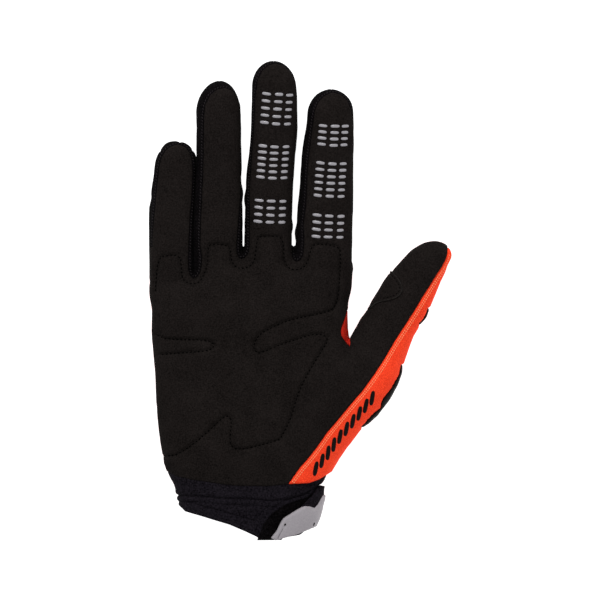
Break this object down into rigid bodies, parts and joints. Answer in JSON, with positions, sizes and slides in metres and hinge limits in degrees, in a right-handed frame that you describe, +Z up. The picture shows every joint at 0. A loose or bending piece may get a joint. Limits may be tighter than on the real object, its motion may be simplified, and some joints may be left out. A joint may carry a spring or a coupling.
{
  "type": "glove",
  "caption": "Full-finger glove for the right hand, with a suede palm, mesh back, knit finger sides, rubber guards and a wrist cuff closed by a hook-and-loop strap",
  "frame": {"origin": "on the ground under the middle of the glove's bounding box, with the glove lying on its back", "axes": "+Y points to the fingertips, +X to the thumb, +Z up out of the palm"},
  "size_m": [0.1512, 0.2392, 0.0375],
  "materials": {
    "suede": "matt synthetic suede",
    "orange_mesh": "fine woven mesh",
    "black_knit": "ribbed stretch knit",
    "neoprene": "matt foam-backed cloth",
    "black_rubber": "satin moulded",
    "hook_and_loop": "short pile",
    "grey_rubber": "satin moulded"
  },
  "bodies": {
    "root": {"palm_panel": "suede", "back_panel": "orange_mesh", "little_back": "black_knit", "ring_back": "black_knit", "middle_back": "black_knit", "index_back": "black_knit", "little_side": "black_knit", "little_ring_fourchette": "black_knit", "ring_middle_fourchette": "black_knit", "middle_index_fourchette": "black_knit", "thumb_patch": "suede", "thumb_guard": "black_rubber", "hand_guard": "black_rubber", "cuff": "neoprene", "closure_patch": "hook_and_loop", "wrist_strap": "hook_and_loop", "strap_tab": "grey_rubber"}
  },
  "joints": []
}
